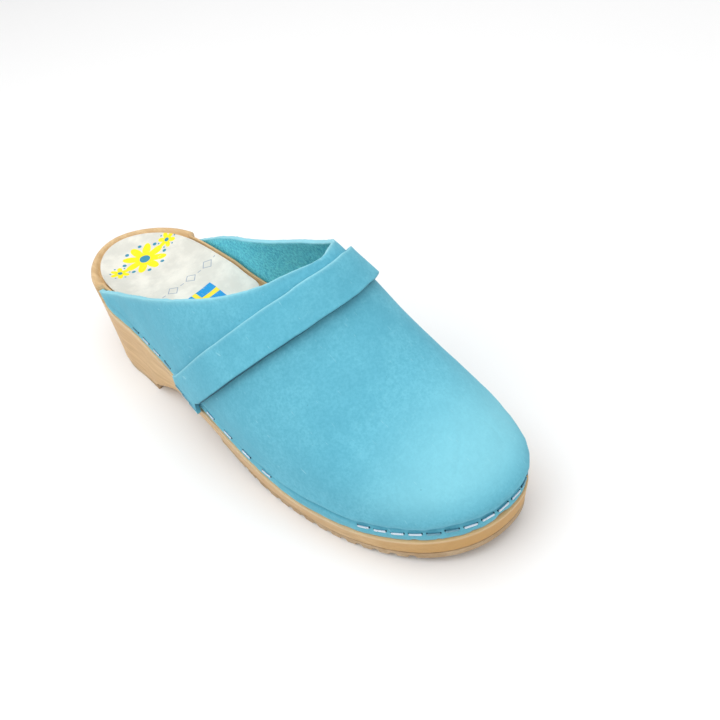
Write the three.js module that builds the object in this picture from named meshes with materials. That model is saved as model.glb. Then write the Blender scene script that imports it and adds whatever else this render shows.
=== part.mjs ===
// A wooden clog for the right foot: one block of wood, a leather upper stapled round it,
// a leather strap over the instep, a thin pad on the footbed and rubber under heel and forefoot.
// Millimetres, +Z up. The toe points along +Y, the outer side of the foot is +X, the floor is z = 0.
import * as THREE from "three";
import { mergeVertices } from "three/addons/utils/BufferGeometryUtils.js";

// Sizes of the block of wood
const length = 252;
const heelHalfWidth = 29.5;
const heelRound = 45;
const ballOuter = 42;
const ballInner = 43;
const ballOuterAt = 163;
const ballInnerAt = 178;
const toePower = 2.2;
const tipShift = -8;
const heelHeight = 50;
const heelRake = 5;
const heelFlare = 2.9;
const flareEnd = 22;
const taper = 0.8;
const breastAt = 65;
const breastRun = 3;
const archHeight = 13;
const toeSpring = 8;
const dishDepth = 4.5;
const rimWidth = 5.2;
const recess = 2.2;
const shoulder = 2.6;
const shoulderInside = 1.2;
const edgeRound = 1.4;

// Sizes of the rubber
const heelRubber = 3;
const treadRubber = 3.4;
const treadFrom = 124;
const ribDepth = 1.5;
const ribPitch = 7.2;
const ribGroove = 2.6;
const ribsFrom = 140;
const ribsTo = 236;
const ribSlope = 1;

// Sizes of the leather
const leather = 2.2;
const clearance = 0.3;
const ledge = 0.8;
const ledgeBevel = 0.6;
const margin = 8;
const bulge = 1.4;
const instepHeight = 98.5;
const throatAt = 164.5;
const backOuter = 31;
const backInner = 40;
const strapLeather = 2;
const strapGap = 0.5;
const strapLift = 0.5;

// Sizes of the pad and the staples
const padThickness = 1.6;
const padLength = 97;
const padCorner = 6;
const stapleLength = 5;
const stapleWire = 1.1;
const stapleHeight = 4.8;
const strapStapleHeight = 2;

// What follows from them
const rebate = ledge + leather + clearance;
const rebateRun = 3;
const treadTop = treadRubber + clearance;
const dishReach = 1 - rimWidth / heelHalfWidth;

// Half width between the round heel and the widest place of the ball, as a share of the way
// from the one half width to the other; at is a share of the length between them
const waist = [
  { at: 0, outer: 0, inner: 0 },
  { at: 0.3, outer: 0.26, inner: -0.11 },
  { at: 0.6, outer: 0.69, inner: 0.44 },
  { at: 1, outer: 1, inner: 1 },
];

// Heights of the footbed's rim and of the leather's ledge as shares of the heel's height,
// and the depth of the dish in the footbed as a share of its own size; at is a share of the length
const block = [
  { at: 0, rim: 0.92, ledge: 0.74, dish: 0.9 },
  { at: 0.12, rim: 0.96, ledge: 0.7, dish: 1 },
  { at: 0.3, rim: 1, ledge: 0.6, dish: 0.8 },
  { at: 0.36, rim: 0.93, ledge: 0.56, dish: 0.65 },
  { at: 0.45, rim: 0.765, ledge: 0.5, dish: 0.5 },
  { at: 0.6, rim: 0.53, ledge: 0.33, dish: 0.35 },
  { at: 0.7, rim: 0.45, ledge: 0.25, dish: 0.3 },
  { at: 0.8, rim: 0.45, ledge: 0.262, dish: 0.3 },
  { at: 0.9, rim: 0.51, ledge: 0.325, dish: 0.3 },
  { at: 1, rim: 0.61, ledge: 0.43, dish: 0.3 },
  { at: 1.1, rim: 0.72, ledge: 0.55, dish: 0.3 },
];

// The wood's underside ahead of the heel, above the top of the tread: arch is a share of the
// arch's height and spring of the toe spring
const under = [
  { at: 0.25, arch: -0.1, spring: 0 },
  { at: 0.262, arch: 0.05, spring: 0 },
  { at: 0.278, arch: 0.18, spring: 0 },
  { at: 0.294, arch: 0.32, spring: 0 },
  { at: 0.312, arch: 0.42, spring: 0 },
  { at: 0.35, arch: 0.6, spring: 0 },
  { at: 0.4, arch: 0.78, spring: 0 },
  { at: 0.45, arch: 0.74, spring: 0 },
  { at: 0.5, arch: 0.54, spring: 0 },
  { at: 0.55, arch: 0.28, spring: 0 },
  { at: 0.64, arch: 0, spring: 0 },
  { at: 0.76, arch: 0, spring: 0 },
  { at: 0.85, arch: 0, spring: 0.18 },
  { at: 0.93, arch: 0, spring: 0.5 },
  { at: 1, arch: 0, spring: 1 },
  { at: 1.1, arch: 0, spring: 1.7 },
];

// The line over the top of the foot: height as a share of the instep's height, shift of the line
// to the outer side, and how full the section is (2 is an ellipse); at is a share of the length
const ridge = [
  { at: 0, height: 1.5, shift: -9, full: 1.9 },
  { at: 0.5, height: 1.25, shift: -9, full: 1.9 },
  { at: 0.6, height: 1.115, shift: -9, full: 1.9 },
  { at: 0.653, height: 1.012, shift: -9, full: 1.9 },
  { at: 0.714, height: 0.835, shift: -9, full: 1.93 },
  { at: 0.81, height: 0.635, shift: -8.5, full: 1.97 },
  { at: 0.87, height: 0.553, shift: -8, full: 2.17 },
  { at: 0.95, height: 0.49, shift: -8, full: 2.3 },
];
const fanFrom = 150;
const fanDepth = 34;
const heelFanDepth = 28;
const heelFanTo = 60;
const woodLine = -2;

// The edge of the opening from the leather's back corners (0) to the throat (1), with a row past
// each end for its direction there: reach is the share of the way to the throat, outer and inner
// how far up the section the edge is
const collar = [
  { at: -0.2, reach: -0.3, outer: -0.05, inner: -0.05 },
  { at: 0, reach: 0, outer: 0.095, inner: 0.09 },
  { at: 0.2, reach: 0.3, outer: 0.241, inner: 0.235 },
  { at: 0.4, reach: 0.57, outer: 0.39, inner: 0.342 },
  { at: 0.6, reach: 0.8, outer: 0.555, inner: 0.5 },
  { at: 0.8, reach: 0.95, outer: 0.78, inner: 0.76 },
  { at: 1, reach: 1, outer: 1, inner: 1 },
  { at: 1.2, reach: 0.95, outer: 1.18, inner: 1.24 },
];

// The strap's rear and front edges as shares of the length, by how far up the section they are
const strap = [
  { at: 0, rear: 0.4, front: 0.475 },
  { at: 0.08, rear: 0.408, front: 0.482 },
  { at: 0.15, rear: 0.444, front: 0.513 },
  { at: 0.25, rear: 0.4925, front: 0.5555 },
  { at: 0.35, rear: 0.535, front: 0.594 },
  { at: 0.5, rear: 0.588, front: 0.6415 },
  { at: 0.65, rear: 0.6265, front: 0.675 },
  { at: 0.8, rear: 0.652, front: 0.6955 },
  { at: 1, rear: 0.665, front: 0.709 },
];

// Share of the section's run that is the flat margin stapled to the wood
const marginShare = 0.08;

// Runs of staples on each side, as shares of the leather's edge behind the strap or ahead of it,
// which ends at the middle of the toe
const stapleRuns = [
  { behind: true, from: 0.44, to: 0.86, count: 4 },
  { behind: false, from: 0.045, to: 0.285, count: 4 },
  { behind: false, from: 0.6, to: 1, count: 10 },
];
const strapStaples = [0.19, 0.52, 0.83];

// How finely the curved pieces are divided
const heelSteps = 8;
const waistSteps = 14;
const toeSteps = 13;
const collarSteps = 13;
const collarCrowd = 0.5;
const vampSteps = 19;
const sectionSteps = 12;
const strapSteps = 18;
const strapAcross = 3;
const edgeSteps = 400;
const slopeStep = 0.001;
const fallStep = 0.5;

// A smooth curve through the rows of a table, level at both ends, that never overshoots a row
function follow(rows, column, at) {
  const last = rows.length - 1;
  const here = THREE.MathUtils.clamp(at, rows[0].at, rows[last].at);
  let k = 0;
  while (k < last - 1 && here > rows[k + 1].at) k += 1;
  const rise = (j) => (rows[j + 1][column] - rows[j][column]) / (rows[j + 1].at - rows[j].at);
  const slope = (j) => {
    if (j === 0 || j === last) return 0;
    const before = rise(j - 1);
    const after = rise(j);
    return before * after > 0 ? (2 * before * after) / (before + after) : 0;
  };
  const span = rows[k + 1].at - rows[k].at;
  const t = (here - rows[k].at) / span;
  const bend = t * t * (3 - 2 * t);
  const lean = span * t * (1 - t) * (slope(k) * (1 - t) - slope(k + 1) * t);
  return rows[k][column] * (1 - bend) + rows[k + 1][column] * bend + lean;
}

// Half width of the block at y, on the outer (1) or inner (-1) side
function halfWidth(side, y) {
  const ballAt = side > 0 ? ballOuterAt : ballInnerAt;
  const ball = side > 0 ? ballOuter : ballInner;
  if (y < heelRound) return heelHalfWidth * Math.sqrt(Math.max(1 - (1 - y / heelRound) ** 2, 0));
  if (y > ballAt) {
    const t = Math.min((y - ballAt) / (length - ballAt), 1);
    const tip = side * tipShift;
    return tip + (ball - tip) * (1 - t ** toePower) ** (1 / toePower);
  }
  const share = follow(waist, side > 0 ? "outer" : "inner", (y - heelRound) / (ballAt - heelRound));
  return heelHalfWidth + (ball - heelHalfWidth) * share;
}

// The point of the outline at y, moved inwards square to the outline
function edgePoint(side, y, inset) {
  if (y <= 0) return new THREE.Vector2(0, inset);
  if (y >= length) return new THREE.Vector2(tipShift, length - inset);
  const low = Math.max(y - slopeStep, 0);
  const high = Math.min(y + slopeStep, length);
  const slope = (halfWidth(side, high) - halfWidth(side, low)) / (high - low);
  const stretch = Math.hypot(1, slope);
  const x = halfWidth(side, y) - inset / stretch;
  return new THREE.Vector2(side * x, y + (inset * slope) / stretch);
}

// 0 on the block's centre line and 1 on its outline
function reach(x, y) {
  const side = x < 0 ? -1 : 1;
  const ballAt = side > 0 ? ballOuterAt : ballInnerAt;
  const width = halfWidth(side, THREE.MathUtils.clamp(y, heelRound, ballAt));
  if (y < heelRound) return Math.hypot(x / width, 1 - y / heelRound);
  const t = Math.max((y - ballAt) / (length - ballAt), 0);
  return ((Math.abs(x) / width) ** toePower + t ** toePower) ** (1 / toePower);
}

const rimHeight = (y) => heelHeight * follow(block, "rim", y / length);
const ledgeHeight = (y) => heelHeight * follow(block, "ledge", y / length);

// The footbed lies below the rim by the recess for the pad, and is dished from there
function footbedHeight(x, y) {
  const depth = dishDepth * follow(block, "dish", y / length);
  return rimHeight(y) - recess - depth * (1 - Math.min(reach(x, y) / dishReach, 1) ** 3);
}

function underHeight(y) {
  if (y <= breastAt) return heelRubber + clearance;
  const at = y / length;
  return treadTop + archHeight * follow(under, "arch", at) + toeSpring * follow(under, "spring", at);
}

// The rebate starts at the leather's back corner on each side
function rebateAt(side, y) {
  const start = (side > 0 ? backOuter : backInner) - clearance - rebateRun;
  return rebate * THREE.MathUtils.clamp((y - start) / rebateRun, 0, 1);
}

// How far the block's lower edge lies inside its outline: the heel rakes forward at its back
// and flares at its sides, and ahead of the heel the sides taper a little
function rakeAt(y) {
  const ahead = THREE.MathUtils.smoothstep(y, breastAt, breastAt + flareEnd);
  const flared = THREE.MathUtils.smoothstep(y, 0, heelRound) - ahead;
  return heelRake * Math.max(1 - y / heelRound, 0) ** 1.5 - heelFlare * flared + taper * ahead;
}

// Where the spoke from the outline at y meets the centre line
function woodSpine(y) {
  const heel = heelFanDepth * Math.max(1 - y / heelFanTo, 0) ** 2;
  const toe = fanDepth * Math.max((y - fanFrom) / (length - fanFrom), 0) ** 2;
  const drift = THREE.MathUtils.smoothstep(y, fanFrom, length) * (tipShift - woodLine);
  return new THREE.Vector2(woodLine * THREE.MathUtils.smoothstep(y, 0, heelFanTo) + drift, y + heel - toe);
}

// Stations along the block, close together round heel and toe
function stations() {
  const found = [];
  for (let i = 0; i < heelSteps; i += 1) {
    found.push(heelRound * (1 - Math.cos((Math.PI / 2) * (i / heelSteps))));
  }
  for (let i = 0; i < waistSteps; i += 1) {
    found.push(heelRound + (ballOuterAt - heelRound) * (i / waistSteps));
  }
  for (let i = 0; i <= toeSteps; i += 1) {
    found.push(ballOuterAt + (length - ballOuterAt) * Math.sin((Math.PI / 2) * (i / toeSteps)));
  }
  return found;
}

// Stations with others put in, which push away any that lie too close to them
function withStations(all, extra, apart) {
  const kept = all.filter((y) => extra.every((e) => Math.abs(e - y) > apart));
  return [...kept, ...extra].sort((a, b) => a - b);
}

const lift = (flat, z) => new THREE.Vector3(flat.x, flat.y, z);
const between = (a, b, t) => new THREE.Vector2().lerpVectors(a, b, t);

// One closed geometry from a list of triangles of points, faces outwards
function solid(triangles) {
  const geometry = new THREE.BufferGeometry();
  const flat = new Float32Array(triangles.length * 9);
  triangles.flat().forEach((p, i) => p.toArray(flat, i * 3));
  geometry.setAttribute("position", new THREE.BufferAttribute(flat, 3));
  const welded = mergeVertices(geometry, 1e-4);
  const index = Array.from(welded.index.array);
  const kept = [];
  for (let i = 0; i < index.length; i += 3) {
    const [a, b, c] = index.slice(i, i + 3);
    if (a !== b && b !== c && c !== a) kept.push(a, b, c);
  }
  welded.setIndex(signedVolume(welded, kept) < 0 ? kept.reverse() : kept);
  welded.computeVertexNormals();
  return welded;
}

function signedVolume(geometry, index) {
  const p = geometry.attributes.position;
  const corner = (i) => new THREE.Vector3().fromBufferAttribute(p, i);
  let total = 0;
  for (let i = 0; i < index.length; i += 3) {
    total += corner(index[i]).dot(corner(index[i + 1]).cross(corner(index[i + 2])));
  }
  return total;
}

function addQuad(triangles, a, b, c, d) {
  triangles.push([a, b, c], [a, c, d]);
}

// A skin over rings of equal count. An end ring is closed by a strip across it, which vanishes
// where the ring's two halves are the same.
function skin(rings) {
  const triangles = [];
  const count = rings[0].length;
  for (let i = 0; i + 1 < rings.length; i += 1) {
    for (let k = 0; k < count; k += 1) {
      const next = (k + 1) % count;
      addQuad(triangles, rings[i][k], rings[i + 1][k], rings[i + 1][next], rings[i][next]);
    }
  }
  const cap = (ring, turn) => {
    for (let k = 0; k < count / 2; k += 1) {
      const low = ring[(count - k) % count];
      const high = ring[count - k - 1];
      const face = [ring[k], ring[k + 1], high, low];
      if (ring[k + 1].distanceTo(high) + ring[k].distanceTo(low) < 1e-6) continue;
      addQuad(triangles, ...(turn ? face.reverse() : face));
    }
  };
  cap(rings[0], false);
  cap(rings[rings.length - 1], true);
  return solid(triangles);
}

// A ring from an outer and an inner half that share their first and last points
function ringOf(outer, inner) {
  return [...outer, ...inner.slice(1, -1).reverse()];
}

// The block's section on one side, from the footbed's centre line round to the sole's
function woodSection(side, y) {
  const inset = rebateAt(side, y);
  const spine = woodSpine(y);
  const rim = edgePoint(side, y, rimWidth);
  const round = THREE.MathUtils.lerp(shoulder, shoulderInside, inset / rebate);
  const onFootbed = (flat) => lift(flat, footbedHeight(flat.x, flat.y));
  const crest = rimHeight(y);
  const step = ledgeHeight(y);
  const foot = underHeight(y);
  const rake = rakeAt(y);
  const sole = edgePoint(side, y, rake + edgeRound);
  const soleSpine = woodSpine(y);
  return [
    onFootbed(spine),
    onFootbed(between(spine, rim, 0.45)),
    onFootbed(between(spine, rim, 0.8)),
    onFootbed(rim),
    lift(edgePoint(side, y, inset + round), crest),
    lift(edgePoint(side, y, inset + round * 0.3), crest - round * 0.35),
    lift(edgePoint(side, y, inset), crest - round),
    lift(edgePoint(side, y, inset), step),
    lift(edgePoint(side, y, 0.1), step - 0.1),
    lift(edgePoint(side, y, 0), step - ledgeBevel),
    lift(edgePoint(side, y, rake), foot + edgeRound),
    lift(sole, foot),
    lift(between(sole, soleSpine, 0.5), foot),
    lift(soleSpine, foot),
  ];
}

// Where the block has a section: its stations, the rebate's two starts and the heel's breast
function woodStations() {
  const starts = [backOuter, backInner].flatMap((y) => [y - clearance - rebateRun, y - clearance]);
  return withStations(stations(), [...starts, breastAt, breastAt + breastRun], 1.2);
}

function woodenSole() {
  return skin(woodStations().map((y) => ringOf(woodSection(1, y), woodSection(-1, y))));
}

// A flat plate of rubber under the wood between two heights given at each y
function rubberPlate(ys, top, bottom) {
  const half = (side, y) => {
    const edge = edgePoint(side, y, rakeAt(y) + clearance);
    const spine = woodSpine(y);
    const sole = edgePoint(side, y, rakeAt(y) + edgeRound);
    const flat = [spine, between(sole, spine, 0.5), sole, edge];
    return [...flat.map((p) => lift(p, bottom(y))), ...flat.reverse().map((p) => lift(p, top(y)))];
  };
  return skin(ys.map((y) => ringOf(half(1, y), half(-1, y))));
}

function heelLift() {
  const ys = [...stations().filter((y) => y < breastAt - 2), breastAt];
  return rubberPlate(ys, () => heelRubber, () => 0);
}

function forefootTread() {
  const ribs = [];
  for (let y = ribsFrom; y + ribPitch <= ribsTo; y += ribPitch) {
    ribs.push(y, y + ribSlope, y + ribGroove, y + ribGroove + ribSlope);
  }
  const inGroove = (y) => {
    const k = ribs.findIndex((r) => Math.abs(r - y) < 1e-6);
    return k >= 0 && (k % 4 === 1 || k % 4 === 2);
  };
  const inside = (y) => y > treadFrom && (y < ribsFrom || y > ribs[ribs.length - 1] + 1);
  const ys = [treadFrom, ...stations().filter(inside), ...ribs].sort((a, b) => a - b);
  const top = (y) => underHeight(y) - clearance;
  return rubberPlate(ys, top, (y) => top(y) - treadRubber + (inGroove(y) ? ribDepth : 0));
}

// The leather's surface: s runs from the outer back corner (0) round the toe (1) to the inner
// back corner (2), and t from the leather's lower edge (0) to the ridge over the foot (1)
const sideOf = (s) => (s > 1 ? -1 : 1);
const wayOf = (s) => (s > 1 ? 2 - s : s);

function edgeY(side, way) {
  const back = side > 0 ? backOuter : backInner;
  return back + (length - back) * way;
}

function ridgePoint(way) {
  const y = (edgeY(1, way) + edgeY(-1, way)) / 2;
  const toe = fanDepth * Math.max((y - fanFrom) / (length - fanFrom), 0) ** 2;
  const at = (y - toe) / length;
  const height = instepHeight * follow(ridge, "height", at);
  return new THREE.Vector3(follow(ridge, "shift", at), y - toe, height);
}

// How steeply the ridge falls towards the toe, which the fan of sections round the toe carries on
function ridgeFall(y) {
  const height = (at) => instepHeight * follow(ridge, "height", at / length);
  return (height(y - fallStep) - height(y + fallStep)) / (2 * fallStep);
}

function leatherPoint(s, t) {
  const side = sideOf(s);
  const way = wayOf(s);
  const top = ridgePoint(way);
  if (t >= 1) return top;
  const y = edgeY(side, way);
  const low = ledgeHeight(y) + clearance;
  if (t <= marginShare) {
    return lift(edgePoint(side, y, ledge), low + margin * (t / marginShare));
  }
  const angle = ((t - marginShare) / (1 - marginShare)) * (Math.PI / 2);
  const power = 2 / follow(ridge, "full", top.y / length);
  const along = 1 - Math.cos(angle) ** power;
  const up = Math.sin(angle) ** power;
  const out = bulge * Math.sin(Math.PI * Math.min(up / 0.7, 1));
  const from = edgePoint(side, y, ledge - out);
  const fall = ridgeFall(top.y) * Math.max(from.y - top.y, 0);
  const rest = 1 - along;
  const flat = from.lerp(new THREE.Vector2(top.x, top.y), along);
  const drop = (top.z - low - margin - fall / 2) * (1 - up);
  return lift(flat, top.z - fall * (rest - rest ** 2 / 2) - drop);
}

function leatherNormal(s, t) {
  if (t >= 1) {
    const way = wayOf(s);
    const run = ridgePoint(Math.min(way + slopeStep, 1)).sub(ridgePoint(way - slopeStep));
    return new THREE.Vector3(0, -run.z, run.y).normalize();
  }
  const clampS = (v) => THREE.MathUtils.clamp(v, 0, 2);
  const clampT = (v) => THREE.MathUtils.clamp(v, 0, 1 - slopeStep);
  const alongS = leatherPoint(clampS(s + slopeStep), t).sub(leatherPoint(clampS(s - slopeStep), t));
  const alongT = leatherPoint(s, clampT(t + slopeStep)).sub(leatherPoint(s, clampT(t - slopeStep)));
  return alongS.cross(alongT).normalize();
}

const offLeather = (s, t, away) => leatherPoint(s, t).addScaledVector(leatherNormal(s, t), away);

// The shares of the way round at which the upper has a section, and how far up each one goes
function upperColumns() {
  const throatWay = (throatAt - (backOuter + backInner) / 2) / (length - (backOuter + backInner) / 2);
  const half = [];
  for (let i = 0; i <= collarSteps; i += 1) {
    const even = i / collarSteps;
    const along = even - (collarCrowd * Math.sin(2 * Math.PI * even)) / (2 * Math.PI);
    const up = { outer: follow(collar, "outer", along), inner: follow(collar, "inner", along) };
    half.push({ way: throatWay * follow(collar, "reach", along), ...up });
  }
  for (let i = 1; i <= vampSteps; i += 1) {
    const round = Math.sin((Math.PI / 2) * (i / vampSteps));
    half.push({ way: throatWay + (1 - throatWay) * round, outer: 1, inner: 1 });
  }
  const outer = half.map((c) => ({ s: c.way, up: c.outer }));
  const inner = half.slice(0, -1).reverse().map((c) => ({ s: 2 - c.way, up: c.inner }));
  return [...outer, ...inner];
}

// Steps up a section, with rows at the foot and the head of the stapled margin
function sectionStep(k, up) {
  if (k === 0) return 0;
  return marginShare + (up - marginShare) * ((k - 1) / (sectionSteps - 1));
}

function upper() {
  const columns = upperColumns();
  const sheet = (away) =>
    columns.map(({ s, up }) =>
      Array.from({ length: sectionSteps + 1 }, (_, k) => offLeather(s, sectionStep(k, up), away)),
    );
  const outside = sheet(0);
  const inside = sheet(-leather);
  const triangles = [];
  const last = columns.length - 1;
  for (let i = 0; i < last; i += 1) {
    for (let k = 0; k < sectionSteps; k += 1) {
      addQuad(triangles, outside[i][k], outside[i + 1][k], outside[i + 1][k + 1], outside[i][k + 1]);
      addQuad(triangles, inside[i][k + 1], inside[i + 1][k + 1], inside[i + 1][k], inside[i][k]);
    }
    addQuad(triangles, inside[i][0], inside[i + 1][0], outside[i + 1][0], outside[i][0]);
    const open = i < collarSteps || i >= last - collarSteps;
    const head = sectionSteps;
    if (open) addQuad(triangles, outside[i][head], outside[i + 1][head], inside[i + 1][head], inside[i][head]);
  }
  for (let k = 0; k < sectionSteps; k += 1) {
    addQuad(triangles, outside[0][k], outside[0][k + 1], inside[0][k + 1], inside[0][k]);
    addQuad(triangles, inside[last][k], inside[last][k + 1], outside[last][k + 1], outside[last][k]);
  }
  return solid(triangles);
}

// Where along the leather a point across the strap lies
function strapS(side, t, across) {
  const rear = length * follow(strap, "rear", t);
  const front = length * follow(strap, "front", t);
  const mean = (backOuter + backInner) / 2;
  const way = (rear + (front - rear) * across - mean) / (length - mean);
  return side > 0 ? way : 2 - way;
}

// The strap's inner face: close on the leather at its rear edge and a little off it at its front
function strapPoint(side, up, across, thickness) {
  return offLeather(strapS(side, up, across), up, strapGap + strapLift * across ** 2 + thickness);
}

function strapBand() {
  const ups = [0, marginShare / 2, marginShare];
  for (let i = 1; i <= strapSteps; i += 1) {
    ups.push(marginShare + (1 - marginShare) * (i / strapSteps));
  }
  const ringAt = (side, up) => {
    const ring = [];
    for (let k = 0; k <= strapAcross; k += 1) ring.push(strapPoint(side, up, k / strapAcross, strapLeather));
    for (let k = strapAcross; k >= 0; k -= 1) ring.push(strapPoint(side, up, k / strapAcross, 0));
    return ring;
  };
  const outer = ups.map((up) => ringAt(1, up));
  const inner = ups.slice(0, -1).reverse().map((up) => ringAt(-1, up));
  return bandSkin([...outer, ...inner]);
}

// A skin over the rings of a flat band, whose ends are closed between its two faces
function bandSkin(rings) {
  const count = rings[0].length;
  const triangles = [];
  for (let i = 0; i + 1 < rings.length; i += 1) {
    for (let k = 0; k < count; k += 1) {
      const next = (k + 1) % count;
      addQuad(triangles, rings[i][k], rings[i + 1][k], rings[i + 1][next], rings[i][next]);
    }
  }
  for (let k = 0; k + 1 < count / 2; k += 1) {
    const first = rings[0];
    const final = rings[rings.length - 1];
    addQuad(triangles, first[k], first[k + 1], first[count - k - 2], first[count - k - 1]);
    addQuad(triangles, final[count - k - 1], final[count - k - 2], final[k + 1], final[k]);
  }
  return solid(triangles);
}

function insolePad() {
  const corner = (y) => {
    const past = Math.max(y - (padLength - padCorner), 0);
    return padCorner - Math.sqrt(Math.max(padCorner ** 2 - past ** 2, 0));
  };
  const half = (side, y) => {
    const spine = woodSpine(y);
    const edge = edgePoint(side, y, rimWidth + clearance + corner(y));
    const flat = [spine, between(spine, edge, 0.45), between(spine, edge, 0.8), edge];
    const height = (p) => footbedHeight(p.x, p.y) + clearance;
    const bottom = flat.map((p) => lift(p, height(p)));
    const top = flat.map((p) => lift(p, height(p) + padThickness));
    return [...top, ...bottom.reverse()];
  };
  const front = [0.5, 0.8, 0.95, 1].map((share) => padLength - padCorner + padCorner * share);
  const ys = withStations(woodStations().filter((y) => y < padLength - padCorner), front, 1);
  return skin(ys.map((y) => ringOf(half(1, y), half(-1, y))));
}

// A staple's crown, lying along the edge at s just off the surface at the given distance
function stapleMesh(name, middle, along, normal) {
  const across = new THREE.Vector3().crossVectors(normal, along).normalize();
  const frame = new THREE.Matrix4().makeBasis(along, across, normal);
  const half = stapleLength / 2;
  const wire = new THREE.Shape();
  const foot = stapleWire;
  wire.moveTo(-half, 0);
  wire.lineTo(-half + foot, stapleWire);
  wire.lineTo(half - foot, stapleWire);
  wire.lineTo(half, 0);
  const bar = new THREE.ExtrudeGeometry(wire, { depth: stapleWire, bevelEnabled: false });
  bar.rotateX(Math.PI / 2);
  bar.translate(0, stapleWire / 2, 0);
  bar.deleteAttribute("normal");
  bar.deleteAttribute("uv");
  const mesh = new THREE.Mesh(mergeVertices(bar, 1e-4), steel);
  mesh.name = name;
  mesh.quaternion.setFromRotationMatrix(frame);
  mesh.position.copy(middle);
  return mesh;
}

// Lengths along the leather's edge at the staples' height, against s
function edgeMarks(t) {
  const marks = [];
  let gone = 0;
  for (let i = 0; i <= edgeSteps; i += 1) {
    const u = (2 * i) / edgeSteps - 1;
    const s = 1 + Math.sign(u) * (1 - Math.cos((Math.PI / 2) * u));
    const here = leatherPoint(s, t);
    if (i > 0) gone += here.distanceTo(marks[i - 1].here);
    marks.push({ s, here, gone });
  }
  return marks;
}

// Reads one column of the marks at a value of another
function readMarks(marks, from, value, to) {
  const k = Math.max(marks.findIndex((mark) => mark[from] >= value), 1);
  const [a, b] = [marks[k - 1], marks[k]];
  return THREE.MathUtils.mapLinear(value, a[from], b[from], a[to], b[to]);
}

function staples() {
  const places = [];
  const t = marginShare * (stapleHeight / margin);
  const marks = edgeMarks(t);
  for (const side of [1, -1]) {
    const gone = (s) => readMarks(marks, "s", s, "gone");
    const ends = [side > 0 ? 0 : 2, strapS(side, t, 0), strapS(side, t, 1), 1].map(gone);
    for (const run of stapleRuns) {
      const [start, end] = run.behind ? ends.slice(0, 2) : ends.slice(2);
      for (let i = 0; i < run.count; i += 1) {
        const share = THREE.MathUtils.lerp(run.from, run.to, i / (run.count - 1));
        if (side < 0 && share >= 1) continue;
        const s = readMarks(marks, "gone", THREE.MathUtils.lerp(start, end, share), "s");
        places.push({ at: offLeather(s, t, clearance * 2), s, t });
      }
    }
  }
  for (const side of [1, -1]) {
    for (const across of strapStaples) {
      const up = marginShare * (strapStapleHeight / margin);
      const at = strapPoint(side, up, across, strapLeather + clearance * 2);
      places.push({ at, s: strapS(side, up, across), t: up });
    }
  }
  return places.map((place, i) => {
    const ahead = leatherPoint(Math.min(place.s + slopeStep, 2), place.t);
    const along = ahead.sub(leatherPoint(Math.max(place.s - slopeStep, 0), place.t)).normalize();
    const normal = leatherNormal(place.s, place.t);
    return stapleMesh(`staple_${String(i + 1).padStart(2, "0")}`, place.at, along, normal);
  });
}

// Materials
const paint = (color, roughness, metalness = 0) =>
  new THREE.MeshStandardMaterial({ color, roughness, metalness });
const wood = paint(0xd1a66d, 0.6);
const rubberTan = paint(0xc0a685, 0.75);
const blueLeather = paint(0x76c4da, 0.85);
const padCloth = paint(0xe6ebe8, 0.7);
const steel = paint(0xc9cccc, 0.35, 0.8);

function piece(name, geometry, material) {
  const mesh = new THREE.Mesh(geometry, material);
  mesh.name = name;
  return mesh;
}

const clog = new THREE.Group();
clog.add(
  piece("wooden_sole", woodenSole(), wood),
  piece("heel_lift", heelLift(), rubberTan),
  piece("forefoot_tread", forefootTread(), rubberTan),
  piece("upper", upper(), blueLeather),
  piece("strap", strapBand(), blueLeather),
  piece("insole_pad", insolePad(), padCloth),
  ...staples(),
);

// The origin is below the middle of the shoe, on the floor
const middle = new THREE.Box3().setFromObject(clog).getCenter(new THREE.Vector3());
clog.position.set(-middle.x, -middle.y, 0);

export default clog;
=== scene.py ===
"""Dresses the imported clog: fine leather, wood, rubber, printed pad and staples, a pale floor, lights, camera.

Shapes are worked out in millimetres with the heel's back at y = 0, then moved to the part's own frame.
"""

import math
from functools import reduce

import bmesh
import bpy
import numpy as np
from mathutils import Matrix, Vector


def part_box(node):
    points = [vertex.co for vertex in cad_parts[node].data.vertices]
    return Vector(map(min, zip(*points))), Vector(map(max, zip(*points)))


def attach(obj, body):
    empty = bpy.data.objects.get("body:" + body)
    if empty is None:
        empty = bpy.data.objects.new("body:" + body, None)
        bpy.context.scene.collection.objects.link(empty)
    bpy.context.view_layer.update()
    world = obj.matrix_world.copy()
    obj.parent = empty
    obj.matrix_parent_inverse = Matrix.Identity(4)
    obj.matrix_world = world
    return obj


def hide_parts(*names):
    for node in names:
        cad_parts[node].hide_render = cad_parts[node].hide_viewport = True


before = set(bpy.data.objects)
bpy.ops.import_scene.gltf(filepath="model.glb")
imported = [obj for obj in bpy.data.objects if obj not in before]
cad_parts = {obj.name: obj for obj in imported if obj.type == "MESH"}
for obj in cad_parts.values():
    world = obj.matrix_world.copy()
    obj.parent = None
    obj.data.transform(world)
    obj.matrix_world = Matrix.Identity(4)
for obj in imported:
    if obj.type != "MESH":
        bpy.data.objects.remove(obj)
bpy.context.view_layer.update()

# Sizes of the block of wood, in millimetres
LENGTH = 252
HEEL_HALF_WIDTH = 29.5
HEEL_ROUND = 45
BALL_OUTER = 42
BALL_INNER = 43
BALL_OUTER_AT = 163
BALL_INNER_AT = 178
TOE_POWER = 2.2
TIP_SHIFT = -8
HEEL_HEIGHT = 50
HEEL_RAKE = 5
HEEL_FLARE = 2.9
FLARE_END = 22
TAPER = 0.8
BREAST_AT = 65
ARCH_HEIGHT = 13
TOE_SPRING = 8
DISH_DEPTH = 4.5
RIM_WIDTH = 5.2
RECESS = 2.2
SHOULDER = 2.6
SHOULDER_INSIDE = 1.2
EDGE_ROUND = 1.4

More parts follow.
